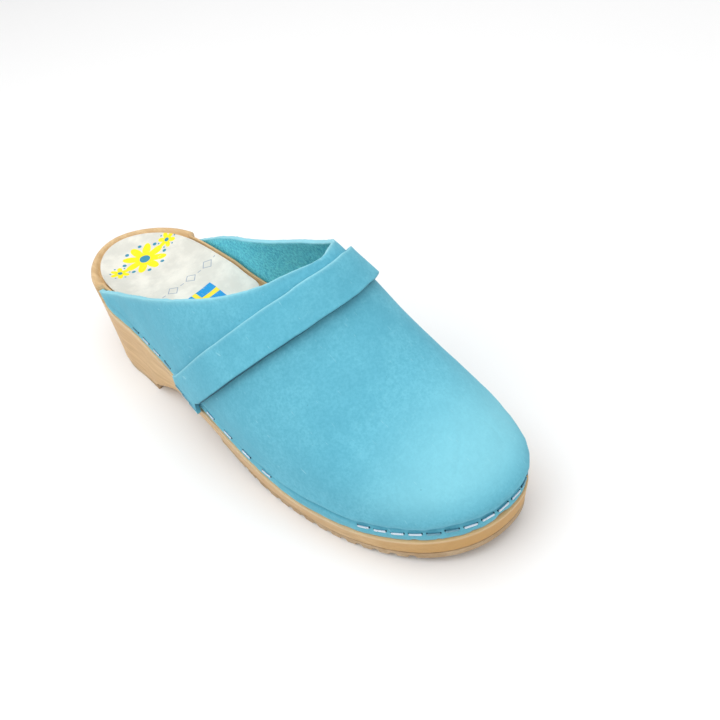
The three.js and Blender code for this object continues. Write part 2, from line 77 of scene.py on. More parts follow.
# Sizes of the rubber
HEEL_RUBBER = 3
TREAD_RUBBER = 3.4
TREAD_FROM = 124
RIB_DEPTH = 1.5
RIB_PITCH = 7.2
RIB_GROOVE = 2.6
RIBS_FROM = 140
RIBS_TO = 236
RIB_SLOPE = 1
RUBBER_ROUND = 0.45

# Sizes of the leather
LEATHER = 2.2
CLEARANCE = 0.3
LEDGE = 0.8
LEDGE_BEVEL = 0.6
MARGIN = 8
BULGE = 1.4
INSTEP_HEIGHT = 98.5
THROAT_AT = 164.5
BACK_OUTER = 31
BACK_INNER = 40
STRAP_LEATHER = 2
STRAP_GAP = 0.35
CUT_SLANT = 0.035
STRAP_LIFT = 0.7
STRAP_SETTLE = 0.225
STRAP_HUG = 0.03
STRAP_CORNER = 0.018
MARGIN_SHARE = 0.08

# Sizes of the pad and the staples
PAD_THICKNESS = 1.6
PAD_LENGTH = 97
PAD_CORNER = 6
PAD_ROUND = 0.5
STAPLE_LENGTH = 5.2
STAPLE_RADIUS = 0.42
STAPLE_BEND = 0.55
STAPLE_LEG = 0.9
STAPLE_HEIGHT = 4.8
STRAP_STAPLE_HEIGHT = 2
STAPLE_T = MARGIN_SHARE * STAPLE_HEIGHT / MARGIN

FAN_FROM = 150
FAN_DEPTH = 34
HEEL_FAN_DEPTH = 28
HEEL_FAN_TO = 60
WOOD_LINE = -2
REBATE = LEDGE + LEATHER + CLEARANCE
REBATE_RUN = 3
TREAD_TOP = TREAD_RUBBER + CLEARANCE
DISH_REACH = 1 - RIM_WIDTH / HEEL_HALF_WIDTH
STEP = 0.001

# Half width between heel and ball, as in the solids
WAIST = {
    "at": [0, 0.3, 0.6, 1],
    "outer": [0, 0.26, 0.69, 1],
    "inner": [0, -0.11, 0.44, 1],
}

# Rim and ledge as shares of the heel's height, the dish as a share of its own depth
BLOCK = {
    "at": [0, 0.12, 0.3, 0.36, 0.45, 0.6, 0.7, 0.8, 0.9, 1, 1.1],
    "rim": [0.92, 0.96, 1, 0.93, 0.765, 0.53, 0.45, 0.45, 0.51, 0.61, 0.72],
    "ledge": [0.74, 0.7, 0.6, 0.56, 0.5, 0.33, 0.25, 0.262, 0.325, 0.43, 0.55],
    "dish": [0.9, 1, 0.8, 0.65, 0.5, 0.35, 0.3, 0.3, 0.3, 0.3, 0.3],
}

# The underside: shares of the arch's height and of the toe spring
UNDER = {
    "at": [0.25, 0.262, 0.278, 0.294, 0.312, 0.35, 0.4, 0.45, 0.5, 0.55, 0.64, 0.76, 0.85, 0.93, 1, 1.1],
    "arch": [-0.1, 0.05, 0.18, 0.32, 0.42, 0.6, 0.78, 0.74, 0.54, 0.28, 0, 0, 0, 0, 0, 0],
    "spring": [0, 0, 0, 0, 0, 0, 0, 0, 0, 0, 0, 0, 0.18, 0.5, 1, 1.7],
}

# The line over the top of the foot
RIDGE = {
    "at": [0, 0.5, 0.6, 0.653, 0.714, 0.81, 0.87, 0.95],
    "height": [1.5, 1.25, 1.115, 1.012, 0.835, 0.635, 0.553, 0.49],
    "shift": [-9, -9, -9, -9, -9, -8.5, -8, -8],
    "full": [1.9, 1.9, 1.9, 1.9, 1.93, 1.97, 2.17, 2.3],
}

# The edge of the opening, from the back corners (0) to the throat (1)
COLLAR = {
    "at": [-0.2, 0, 0.2, 0.4, 0.6, 0.8, 1, 1.2],
    "reach": [-0.3, 0, 0.3, 0.57, 0.8, 0.95, 1, 0.95],
    "outer": [-0.05, 0.095, 0.241, 0.39, 0.555, 0.78, 1, 1.18],
    "inner": [-0.05, 0.09, 0.235, 0.342, 0.5, 0.76, 1, 1.24],
}

# The strap's edges as shares of the length, by how far up the section they are
STRAP = {
    "at": [0, 0.08, 0.15, 0.25, 0.35, 0.5, 0.65, 0.8, 1],
    "rear": [0.4, 0.408, 0.444, 0.4925, 0.535, 0.588, 0.6265, 0.652, 0.665],
    "front": [0.475, 0.482, 0.513, 0.5555, 0.594, 0.6415, 0.675, 0.6955, 0.709],
}

# Runs of staples as shares of the edge behind the strap or ahead of it
STAPLE_RUNS = [
    {"behind": True, "from": 0.44, "to": 0.86, "count": 4},
    {"behind": False, "from": 0.045, "to": 0.285, "count": 4},
    {"behind": False, "from": 0.6, "to": 1, "count": 10},
]
STRAP_STAPLES = [0.19, 0.52, 0.83]

# Which staples of each round are leather-coloured, not white
DULL_STAPLES = {0, 3, 12, 13}
DULL_ROUND = 21

# Shallow creases over the toe: s, height above the edge, half length, depth and half width
TOE_CREASES = [
    (0.955, 26, 9, 0.16, 0.006),
    (0.985, 30, 10, 0.2, 0.005),
    (1.012, 27, 9, 0.18, 0.006),
    (1.045, 24, 9, 0.2, 0.008),
    (1.09, 22, 8, 0.2, 0.012),
    (0.88, 20, 8, 0.14, 0.012),
    (0.8, 18, 7, 0.14, 0.014),
    (1.17, 20, 8, 0.2, 0.014),
]

# Small cuts and gaps in the leather's lower edge round the toe: s, half width in s and height in mm
EDGE_NICKS = [
    (0.9968, 0.0034, 1.7),
    (0.9, 0.008, 0.75),
    (0.935, 0.004, 0.5),
    (0.975, 0.003, 0.5),
]

# The fold over the staples and the swell above it: height above the edge, half width, depth
FOLD = (6.6, 1.25, 0.75)
SWELL = (10.8, 3.4, 0.75)
HELD_WIDTH = 3.4
# A deeper fold low on the outer side: height, half width, depth and its run in s
SIDE_FOLD = (7.2, 1.2, 1.1)
SIDE_FOLD_RUN = (0.6, 0.64, 0.77, 0.81)

# Places of the print on the pad, in millimetres
ORNAMENT = (-2.5, 28)
FIELD = (-8.3, 75.6)
FIELD_UNIT = 1.22
DIAMOND_ROW = (-21.8, 64.1)
DIAMOND_PITCH = 11
ROSETTE = 11.5
SMALL_ROSETTE = 5
ROSETTE_GAP = 15.2
DIAMOND = 2.9

# The camera, at the photograph's angle to the shoe
AZIMUTH = math.radians(140.974)
ELEVATION = math.radians(45.760)
ROLL = math.radians(-11.449)
DISTANCE = 339.078
FOCAL_PIXELS = 772.29
PHOTO_PIXELS = 720
TARGET = np.array([-20.824, 160.526, 33.307])

# How finely the pieces are divided
COLLAR_COLUMNS = 110
VAMP_COLUMNS = 130
LEATHER_ROWS = 80
STRAP_ROWS = 90
MM = 0.001
WORLD_STRENGTH = 0.48
FLOOR_SIZE = 6
FLOOR_PAINT = (0.93, 0.93, 0.93, 1)


def follow(rows, column, at):
    """A smooth curve through a table's rows, level at both ends, that never overshoots a row."""
    x = np.array(rows["at"], float)
    y = np.array(rows[column], float)
    at = np.clip(np.asarray(at, float), x[0], x[-1])
    k = np.clip(np.searchsorted(x, at, side="left") - 1, 0, len(x) - 2)
    rise = np.diff(y) / np.diff(x)
    slope = np.zeros(len(x))
    product = rise[:-1] * rise[1:]
    turning = product > 0
    slope[1:-1][turning] = 2 * product[turning] / (rise[:-1] + rise[1:])[turning]
    span = x[k + 1] - x[k]
    t = (at - x[k]) / span
    bend = t * t * (3 - 2 * t)
    lean = span * t * (1 - t) * (slope[k] * (1 - t) - slope[k + 1] * t)
    return y[k] * (1 - bend) + y[k + 1] * bend + lean


def ease(x, low, high):
    t = np.clip((np.asarray(x, float) - low) / (high - low), 0, 1)
    return t * t * (3 - 2 * t)


def half_width(side, y):
    side, y = np.broadcast_arrays(side, y)
    ball_at = np.where(side > 0, BALL_OUTER_AT, BALL_INNER_AT)
    ball = np.where(side > 0, BALL_OUTER, BALL_INNER)
    heel = HEEL_HALF_WIDTH * np.sqrt(np.clip(1 - (1 - y / HEEL_ROUND) ** 2, 0, None))
    t = np.clip((y - ball_at) / (LENGTH - ball_at), 0, 1)
    tip = side * TIP_SHIFT
    toe = tip + (ball - tip) * np.clip(1 - t**TOE_POWER, 0, None) ** (1 / TOE_POWER)
    share = (y - HEEL_ROUND) / (ball_at - HEEL_ROUND)
    waist = np.where(side > 0, follow(WAIST, "outer", share), follow(WAIST, "inner", share))
    middle = HEEL_HALF_WIDTH + (ball - HEEL_HALF_WIDTH) * waist
    return np.where(y < HEEL_ROUND, heel, np.where(y > ball_at, toe, middle))


def edge_point(side, y, inset):
    """The outline at y, moved inwards square to the outline, as an array of x and y."""
    side, y, inset = np.broadcast_arrays(side, y, inset)
    low = np.clip(y - STEP, 0, None)
    high = np.clip(y + STEP, None, LENGTH)
    slope = (half_width(side, high) - half_width(side, low)) / (high - low)
    stretch = np.hypot(1, slope)
    px = side * (half_width(side, y) - inset / stretch)
    py = y + inset * slope / stretch
    px = np.where(y <= 0, 0, np.where(y >= LENGTH, TIP_SHIFT, px))
    py = np.where(y <= 0, inset, np.where(y >= LENGTH, LENGTH - inset, py))
    return np.stack([px, py], -1)


def rim_height(y):
    return HEEL_HEIGHT * follow(BLOCK, "rim", y / LENGTH)


def ledge_height(y):
    return HEEL_HEIGHT * follow(BLOCK, "ledge", y / LENGTH)


def reach(x, y):
    """0 on the block's centre line and 1 on its outline."""
    side = np.where(x < 0, -1.0, 1.0)
    ball_at = np.where(side > 0, BALL_OUTER_AT, BALL_INNER_AT)
    width = half_width(side, np.clip(y, HEEL_ROUND, ball_at))
    heel = np.hypot(x / width, 1 - y / HEEL_ROUND)
    t = np.clip((y - ball_at) / (LENGTH - ball_at), 0, None)
    toe = ((np.abs(x) / width) ** TOE_POWER + t**TOE_POWER) ** (1 / TOE_POWER)
    return np.where(y < HEEL_ROUND, heel, toe)


def footbed_height(flat):
    x, y = flat[..., 0], flat[..., 1]
    depth = DISH_DEPTH * follow(BLOCK, "dish", y / LENGTH)
    inside = np.clip(reach(x, y) / DISH_REACH, 0, 1)
    return rim_height(y) - RECESS - depth * (1 - inside**3)


def under_height(y):
    """The wood's underside: flat under the heel, a hollow breast, arch and toe spring."""
    at = y / LENGTH
    ahead = TREAD_TOP + ARCH_HEIGHT * follow(UNDER, "arch", at) + TOE_SPRING * follow(UNDER, "spring", at)
    return np.where(y <= BREAST_AT, HEEL_RUBBER + CLEARANCE, ahead)


def rebate_at(side, y):
    start = np.where(side > 0, BACK_OUTER, BACK_INNER) - CLEARANCE - REBATE_RUN
    return REBATE * np.clip((y - start) / REBATE_RUN, 0, 1)


def rake_at(y):
    ahead = ease(y, BREAST_AT, BREAST_AT + FLARE_END)
    flared = ease(y, 0, HEEL_ROUND) - ahead
    return HEEL_RAKE * np.clip(1 - y / HEEL_ROUND, 0, None) ** 1.5 - HEEL_FLARE * flared + TAPER * ahead


def wood_spine(y):
    heel = HEEL_FAN_DEPTH * np.clip(1 - y / HEEL_FAN_TO, 0, None) ** 2
    toe = FAN_DEPTH * np.clip((y - FAN_FROM) / (LENGTH - FAN_FROM), 0, None) ** 2
    drift = ease(y, FAN_FROM, LENGTH) * (TIP_SHIFT - WOOD_LINE)
    return np.stack([WOOD_LINE * ease(y, 0, HEEL_FAN_TO) + drift, y + heel - toe], -1)


def edge_y(side, way):
    back = np.where(side > 0, BACK_OUTER, BACK_INNER)
    return back + (LENGTH - back) * way


def ridge_point(way):
    y = (edge_y(1, way) + edge_y(-1, way)) / 2
    back = y - FAN_DEPTH * np.clip((y - FAN_FROM) / (LENGTH - FAN_FROM), 0, None) ** 2
    at = back / LENGTH
    return follow(RIDGE, "shift", at), back, INSTEP_HEIGHT * follow(RIDGE, "height", at)


def leather_point(s, t):
    """The leather's outer face: s round the toe from outer (0) to inner (2) back corner, t upwards."""
    s, t = np.broadcast_arrays(s, t)
    side = np.where(s > 1, -1.0, 1.0)
    way = np.where(s > 1, 2 - s, s)
    top_x, top_y, top_z = ridge_point(way)
    y = edge_y(side, way)
    low = ledge_height(y) + CLEARANCE
    angle = np.clip((t - MARGIN_SHARE) / (1 - MARGIN_SHARE), 0, 1) * np.pi / 2
    power = 2 / follow(RIDGE, "full", top_y / LENGTH)
    along = 1 - np.where(t >= 1, 0, np.cos(angle)) ** power
    up = np.sin(angle) ** power
    out = BULGE * np.sin(np.pi * np.minimum(up / 0.7, 1))
    start = edge_point(side, y, LEDGE - out)
    above = INSTEP_HEIGHT * follow(RIDGE, "height", (top_y - 0.5) / LENGTH)
    below = INSTEP_HEIGHT * follow(RIDGE, "height", (top_y + 0.5) / LENGTH)
    fall = (above - below) * np.clip(start[..., 1] - top_y, 0, None)
    rest = 1 - along
    x = start[..., 0] * rest + top_x * along
    py = start[..., 1] * rest + top_y * along
    z = top_z - fall * (rest - rest**2 / 2) - (top_z - low - MARGIN - fall / 2) * (1 - up)
    flat_part = t <= MARGIN_SHARE
    foot = edge_point(side, y, LEDGE)
    x = np.where(flat_part, foot[..., 0], x)
    py = np.where(flat_part, foot[..., 1], py)
    z = np.where(flat_part, low + MARGIN * (t / MARGIN_SHARE), z)
    return np.stack([x, py, z], -1)


def leather_normal(s, t):
    s, t = np.broadcast_arrays(s, t)
    along_s = leather_point(np.clip(s + STEP, 0, 2), t) - leather_point(np.clip(s - STEP, 0, 2), t)
    high = np.clip(t + STEP, 0, 1 - STEP)
    low = np.clip(t - STEP, 0, 1 - 3 * STEP)
    along_t = leather_point(s, high) - leather_point(s, low)
    normal = np.cross(along_s, along_t)
    size = np.linalg.norm(normal, axis=-1, keepdims=True)
    normal = normal / np.where(size > 1e-9, size, 1)
    way = np.where(s > 1, 2 - s, s)
    ahead = np.stack(ridge_point(np.minimum(way + STEP, 1)), -1)
    behind = np.stack(ridge_point(way - STEP), -1)
    run = ahead - behind
    top = np.stack([np.zeros_like(way), -run[..., 2], run[..., 1]], -1)
    top /= np.linalg.norm(top, axis=-1, keepdims=True)
    return np.where((t >= 1 - 2 * STEP)[..., None], top, normal)


def waves(points, size, count, seed):
    """Smooth unevenness between about -1 and 1, the same in every run."""
    rng = np.random.default_rng(seed)
    total = np.zeros(points.shape[:-1])
    for _ in range(count):
        direction = rng.normal(size=3)
        direction /= np.linalg.norm(direction)
        pace = 2 * np.pi / (size * rng.uniform(0.6, 1.6))
        total += np.sin(points @ direction * pace + rng.uniform(0, 2 * np.pi))
    return total / math.sqrt(count)


# Where the shapes lie in the part's own frame
sole_low, sole_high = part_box("wooden_sole")
SHIFT = np.array([sole_high.x - BALL_OUTER * MM, sole_low.y, 0])


def to_frame(points):
    return np.asarray(points, float).reshape(-1, 3) * MM + SHIFT


def link(thing):
    bpy.context.scene.collection.objects.link(thing)


def make_piece(name, points, faces, materials, values=None, slots=None, weld=1e-6):
    """A smooth mesh from millimetre points and faces, welded where points coincide."""
    mesh = bpy.data.meshes.new(name)
    mesh.from_pydata(to_frame(points).tolist(), [], [list(f) for f in faces])
    for label, data in (values or {}).items():
        layer = mesh.attributes.new(label, "FLOAT", "POINT")
        layer.data.foreach_set("value", np.asarray(data, np.float32).ravel())
    for material in materials:
        mesh.materials.append(material)
    if slots is not None:
        mesh.polygons.foreach_set("material_index", np.asarray(slots, np.int32))
    work = bmesh.new()
    work.from_mesh(mesh)
    bmesh.ops.remove_doubles(work, verts=work.verts, dist=weld)
    bmesh.ops.recalc_face_normals(work, faces=work.faces)
    for face in work.faces:
        face.smooth = True
    work.to_mesh(mesh)
    work.free()
    piece = bpy.data.objects.new(name, mesh)
    link(piece)
    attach(piece, "root")
    return piece


def quads(rows, columns, turn=False, offset=0, wrap=False):
    """Faces of a grid whose points are counted row by row."""
    i = np.arange(rows - 1)[:, None]
    k = np.arange(columns if wrap else columns - 1)[None, :]
    after = (k + 1) % columns
    a = i * columns + k
    b = (i + 1) * columns + k
    c = (i + 1) * columns + after
    d = i * columns + after
    found = np.stack([a, b, c, d], -1).reshape(-1, 4) + offset
    return found[:, ::-1] if turn else found


# Helpers for materials
def paint(red, green, blue):
    """A colour given as it looks on a screen, from 0 to 255."""
    shares = [c / 255 for c in (red, green, blue)]
    return (*[c / 12.92 if c <= 0.04045 else ((c + 0.055) / 1.055) ** 2.4 for c in shares], 1)


class Look:
    """A material under construction."""

    def __init__(self, name):
        self.material = bpy.data.materials.new(name)
        self.material.use_nodes = True
        self.tree = self.material.node_tree
        self.shader = self.tree.nodes["Principled BSDF"]
        self.place = self.add("ShaderNodeTexCoord").outputs["Object"]

    def add(self, kind, **settings):
        made = self.tree.nodes.new(kind)
        for key, value in settings.items():
            setattr(made, key, value)
        return made

    def feed(self, socket, value):
        if isinstance(value, bpy.types.NodeSocket):
            self.tree.links.new(value, socket)
        else:
            socket.default_value = value

    def math(self, operation, a, b=0.0, c=0.0):
        made = self.add("ShaderNodeMath", operation=operation)
        for socket, value in zip(made.inputs, (a, b, c)):
            self.feed(socket, value)
        return made.outputs[0]

    def fill(self, made, **inputs):
        for name, value in inputs.items():
            self.feed(made.inputs[name], value)
        return made

    def stretch(self, scale, turn=(0, 0, 0)):
        made = self.add("ShaderNodeMapping")
        return self.fill(made, Vector=self.place, Scale=scale, Rotation=turn).outputs[0]

    def noise(self, size, detail=3.0, rough=0.5, at=None, bend=0.0):
        """Noise whose features are about size millimetres across."""
        made = self.add("ShaderNodeTexNoise")
        self.fill(made, Vector=at or self.place, Scale=1 / (size * MM), Detail=detail)
        return self.fill(made, Roughness=rough, Distortion=bend).outputs["Fac"]

    def cells(self, size):
        made = self.add("ShaderNodeTexVoronoi")
        return self.fill(made, Vector=self.place, Scale=1 / (size * MM)).outputs["Distance"]

    def spread(self, value, low, high, to_low=0.0, to_high=1.0):
        made = self.add("ShaderNodeMapRange", interpolation_type="SMOOTHSTEP")
        for socket, number in zip(made.inputs, (value, low, high, to_low, to_high)):
            self.feed(socket, number)
        return made.outputs[0]

    def mix(self, share, a, b):
        made = self.add("ShaderNodeMix", data_type="RGBA")
        self.feed(made.inputs["Factor"], share)
        self.feed(made.inputs[6], a)
        self.feed(made.inputs[7], b)
        return made.outputs[2]

    def tint(self, base, color, field, low, high, most=1.0):
        """A colour over base where field is high, up to most."""
        return self.mix(self.spread(field, low, high, 0, most), base, paint(*color))

    def veil(self, base, color, share, most):
        return self.mix(self.times(share, most), base, paint(*color))

    def times(self, a, b):
        return self.math("MULTIPLY", a, b)

    def minus(self, a, b):
        return self.math("SUBTRACT", a, b)

    def size(self, a):
        return self.math("ABSOLUTE", a)

    def value(self, name):
        return self.add("ShaderNodeAttribute", attribute_name=name).outputs["Fac"]

    def bump(self, layers):
        """Bumps one after another, each a height, its strength and its depth in millimetres."""
        normal = None
        for height, strength, depth in layers:
            made = self.add("ShaderNodeBump")
            self.fill(made, Strength=strength, Distance=depth * MM, Height=height)
            if normal is not None:
                self.feed(made.inputs["Normal"], normal)
            normal = made.outputs[0]
        self.feed(self.shader.inputs["Normal"], normal)

    def set(self, **inputs):
        names = {"color": "Base Color", "rough": "Roughness", "metal": "Metallic", "sheen": "Sheen Weight",
                 "sheen_rough": "Sheen Roughness", "coat": "Coat Weight", "coat_rough": "Coat Roughness",
                 "specular": "Specular IOR Level", "sheen_tint": "Sheen Tint"}
        for key, value in inputs.items():
            self.feed(self.shader.inputs[names[key]], value)
        return self.material


def nubuck():
    look = Look("nubuck")
    cloudy = look.noise(38, 4, 0.6, bend=0.4)
    patchy = look.noise(9, 5, 0.62)
    mottled = look.noise(2.6, 5, 0.7)
    grain = look.noise(1.1, 4, 0.7)
    pores = look.cells(0.8)
    strokes = look.noise(5, 4, 0.7, at=look.stretch((0.45, 2.4, 1), (0, 0, 0.9)))
    base = look.tint(paint(98, 181, 204), (109, 192, 214), cloudy, 0.36, 0.64)
    base = look.tint(base, (126, 206, 225), patchy, 0.4, 0.72, 0.25)
    base = look.tint(base, (140, 213, 229), strokes, 0.55, 0.75, 0.2)
    base = look.tint(base, (86, 171, 195), mottled, 0.42, 0.62, 0.34)
    base = look.tint(base, (84, 168, 192), grain, 0.42, 0.62, 0.4)
    # Paler over the toe's top: partly worn leather, partly painted highlight.
    base = look.veil(base, (146, 218, 232), look.value("wear_and_highlight"), 0.6)
    specks = look.spread(look.cells(6.5), 0.05, 0.02)
    base = look.veil(base, (66, 136, 160), specks, 0.55)
    # Painted highlight along the cut edges.
    base = look.veil(base, (166, 224, 234), look.value("edge"), 0.6)
    # Painted shade in the creases.
    base = look.veil(base, (60, 142, 168), look.value("fold"), 0.6)
    # Painted shadow on faces that lie in shade: the leather's lower cut face and the strap's front face and
    # underside.
    base = look.mix(look.value("deep"), base, paint(18, 78, 98))
    scratch = look.spread(look.noise(3.5, 2, 0.5, at=look.stretch((7, 0.5, 1), (0, 0, 0.5))), 0.7, 0.78)
    base = look.veil(base, (176, 228, 238), scratch, 0.35)
    look.bump([(grain, 0.4, 0.14), (pores, 0.25, 0.08), (patchy, 0.3, 0.3), (scratch, 0.25, -0.1)])
    rough = look.spread(patchy, 0.3, 0.75, 0.72, 0.9)
    return look.set(color=base, rough=rough, sheen=0.12, sheen_rough=0.5, specular=0.22,
                    sheen_tint=paint(190, 232, 240))


def suede():
    look = Look("suede_inside")
    nap = look.noise(1.2, 4, 0.75)
    tufts = look.noise(3, 5, 0.7)
    cloudy = look.noise(20, 3, 0.5)
    # Painted light: these colours are lighter than the suede's own, making up for the little light inside the
    # shoe.
    base = look.tint(paint(76, 184, 218), (134, 238, 255), nap, 0.38, 0.6)
    base = look.tint(base, (96, 206, 236), tufts, 0.42, 0.68, 0.5)
    base = look.tint(base, (134, 238, 255), cloudy, 0.4, 0.65, 0.3)
    # Painted highlight along the cut edges.
    base = look.veil(base, (160, 222, 234), look.value("edge"), 0.5)
    look.bump([(nap, 0.8, 0.35), (tufts, 0.6, 0.5)])
    return look.set(color=base, rough=1.0, specular=0.0)


def alder():
    look = Look("pale_wood")
    streaks = look.noise(3.2, 5, 0.6, at=look.stretch((1, 0.055, 1)), bend=0.15)
    fine = look.noise(0.7, 4, 0.65, at=look.stretch((1, 0.03, 1)))
    broad = look.noise(16, 3, 0.5, at=look.stretch((1, 0.16, 1)))
    flecks = look.spread(look.noise(1.1, 2, 0.5, at=look.stretch((1, 0.12, 1))), 0.66, 0.75)
    base = look.tint(paint(202, 164, 112), (226, 193, 144), streaks, 0.35, 0.66)
    base = look.tint(base, (214, 174, 122), broad, 0.38, 0.66, 0.5)
    base = look.tint(base, (186, 146, 98), fine, 0.45, 0.7, 0.45)
    base = look.veil(base, (158, 112, 68), flecks, 0.4)
    base = look.veil(base, (202, 152, 76), look.value("ends"), 0.75)
    # Painted highlight on the rim's crest and on the ledge.
    base = look.veil(base, (238, 220, 186), look.value("pale"), 0.5)
    look.bump([(fine, 0.25, 0.1), (streaks, 0.25, 0.15)])
    rough = look.spread(streaks, 0.3, 0.7, 0.5, 0.62)
    return look.set(color=base, rough=rough, coat=0.12, coat_rough=0.35, specular=0.4)


def rubber():
    look = Look("tan_rubber")
    cloudy = look.noise(14, 4, 0.6)
    grit = look.noise(0.8, 3, 0.6)
    base = look.tint(paint(184, 156, 122), (206, 182, 150), cloudy, 0.35, 0.68)
    base = look.tint(base, (160, 130, 98), grit, 0.5, 0.75, 0.35)
    look.bump([(grit, 0.4, 0.15), (cloudy, 0.2, 0.3)])
    return look.set(color=base, rough=0.82, specular=0.25)


def printed_pad():
    """Off-white pad with a rosette between two small ones, a row of diamonds and a field with a cross."""
    look = Look("printed_pad")
    parts = look.add("ShaderNodeSeparateXYZ")
    look.feed(parts.inputs[0], look.place)
    x, y = [look.math("MULTIPLY_ADD", parts.outputs[k], 1 / MM, -SHIFT[k] / MM) for k in (0, 1)]

    def inside(distance, soft=0.09):
        return look.spread(distance, soft, -soft)

    def length(a, b):
        return look.math("SQRT", look.math("ADD", look.times(a, a), look.times(b, b)))

    def polar(cx, cy):
        dx = look.minus(x, cx)
        dy = look.minus(y, cy)
        return length(dx, dy), look.math("ARCTAN2", dy, dx)

    def petals(far, turn, size, count):
        wave = look.size(look.math("COSINE", look.times(turn, count / 2)))
        reach_out = look.math("MULTIPLY_ADD", wave, size * 0.55, size * 0.45)
        return look.minus(far, reach_out)

    def dots(far, turn, radius, size, count):
        step = 2 * math.pi / count
        shifted = look.math("ADD", turn, math.pi + step)
        folded = look.minus(look.math("MODULO", shifted, step), step / 2)
        along = look.minus(look.times(far, look.math("COSINE", folded)), radius)
        across = look.times(far, look.math("SINE", folded))
        return look.minus(length(along, across), size)

    def either(a, b):
        return look.math("MAXIMUM", a, b)

    def block(low_x, high_x, low_y, high_y):
        across = look.minus(look.size(look.minus(x, (low_x + high_x) / 2)), (high_x - low_x) / 2)
        along = look.minus(look.size(look.minus(y, (low_y + high_y) / 2)), (high_y - low_y) / 2)
        return either(across, along)

    def part_of_field(low_x, high_x, low_y, high_y):
        x0, y0 = FIELD
        return inside(block(x0 + low_x * FIELD_UNIT, x0 + high_x * FIELD_UNIT,
                            y0 + low_y * FIELD_UNIT, y0 + high_y * FIELD_UNIT))

    yellow, blue = [], []
    rosettes = [(0, ROSETTE, 8), (-ROSETTE_GAP, SMALL_ROSETTE, 6), (ROSETTE_GAP, SMALL_ROSETTE, 6)]
    for aside, size, count in rosettes:
        far, turn = polar(ORNAMENT[0] + aside, ORNAMENT[1])
        yellow.append(inside(petals(far, turn, size, count)))
        blue.append(inside(look.minus(far, size * 0.24)))
        blue.append(inside(dots(far, turn, size * 0.93, size * 0.09, count)))
    yellow = reduce(either, yellow)
    blue = reduce(either, blue)
    field = part_of_field(0, 16, 0, 10)
    upright = part_of_field(7.5, 9.5, 0, 10)
    level = part_of_field(0, 16, 4, 6)
    moved = look.math("ADD", x, 100 * DIAMOND_PITCH - DIAMOND_ROW[0])
    folded = look.minus(look.math("MODULO", moved, DIAMOND_PITCH), DIAMOND_PITCH / 2)
    up = look.minus(y, DIAMOND_ROW[1])
    taxi = look.math("ADD", look.size(folded), look.size(up))
    outline = look.minus(look.size(look.minus(taxi, DIAMOND)), 0.26)
    dash_x = look.minus(look.minus(DIAMOND_PITCH / 2, look.size(folded)), 1)
    dash = either(dash_x, look.minus(look.size(up), 0.22))
    row = inside(look.math("MINIMUM", outline, dash), 0.12)
    row_x, row_y = DIAMOND_ROW
    row = look.times(row, inside(block(row_x, row_x + 4 * DIAMOND_PITCH, row_y - 4, row_y + 4)))
    cloth = look.noise(0.5, 3, 0.6)
    creased = look.noise(11, 4, 0.6)
    base = look.tint(paint(214, 213, 204), (232, 230, 220), creased, 0.36, 0.66)
    base = look.tint(base, (205, 210, 207), cloth, 0.5, 0.75, 0.2)
    worn = look.spread(look.noise(1.6, 4, 0.7), 0.72, 0.6, 0.55, 1)
    base = look.veil(base, (252, 232, 20), yellow, worn)
    base = look.veil(base, (56, 142, 172), blue, worn)
    base = look.veil(base, (24, 150, 214), field, worn)
    base = look.veil(base, (246, 226, 60), either(upright, level), worn)
    base = look.veil(base, (112, 136, 168), row, 0.8)
    look.bump([(cloth, 0.25, 0.08), (creased, 0.35, 0.5)])
    return look.set(color=base, rough=0.62, specular=0.35, coat=0.05)


def wire():
    look = Look("staple_wire")
    tone_and_hole_shade = look.value("tone_and_hole_shade")
    base = look.mix(tone_and_hole_shade, paint(226, 234, 244), paint(84, 150, 172))
    # Painted shade where the legs go into the leather, for values above 1.
    base = look.mix(look.spread(tone_and_hole_shade, 1.1, 1.7), base, paint(22, 70, 86))
    rough = look.noise(2, 2, 0.5)
    look.bump([(rough, 0.1, 0.05)])
    return look.set(color=base, rough=look.spread(rough, 0.3, 0.7, 0.25, 0.4), metal=0.35, specular=0.6)


NUBUCK = nubuck()
SUEDE = suede()
WOOD = alder()
RUBBER = rubber()
PAD = printed_pad()
WIRE = wire()


# The upper
def gauss(x, middle, width):
    return np.exp(-(((x - middle) / width) ** 2))


def upper_columns():
    mean = (BACK_OUTER + BACK_INNER) / 2
    throat = (THROAT_AT - mean) / (LENGTH - mean)
    even = np.linspace(0, 1, COLLAR_COLUMNS + 1)
    along = even - 0.5 * np.sin(2 * np.pi * even) / (2 * np.pi)
    way = throat * follow(COLLAR, "reach", along)
    rest = np.sin(np.pi / 2 * np.arange(1, VAMP_COLUMNS + 1) / VAMP_COLUMNS)
    vamp = throat + (1 - throat) * rest
    ones = np.ones(VAMP_COLUMNS)
    half = np.concatenate([way, vamp])
    outer = np.concatenate([follow(COLLAR, "outer", along), ones])
    inner = np.concatenate([follow(COLLAR, "inner", along), ones])
    s = np.concatenate([half, 2 - half[:-1][::-1]])
    return s, np.concatenate([outer, inner[:-1][::-1]])


def staple_marks():
    u = np.linspace(-1, 1, 1201)
    s = 1 + np.sign(u) * (1 - np.cos(np.pi / 2 * u))
    here = leather_point(s, STAPLE_T)
    gone = np.concatenate([[0], np.cumsum(np.linalg.norm(np.diff(here, axis=0), axis=1))])
    return s, gone


def strap_s(side, t, across):
    rear = LENGTH * follow(STRAP, "rear", t)
    front = LENGTH * follow(STRAP, "front", t)
    mean = (BACK_OUTER + BACK_INNER) / 2
    way = (rear + (front - rear) * across - mean) / (LENGTH - mean)
    return np.where(np.asarray(side) > 0, way, 2 - way)


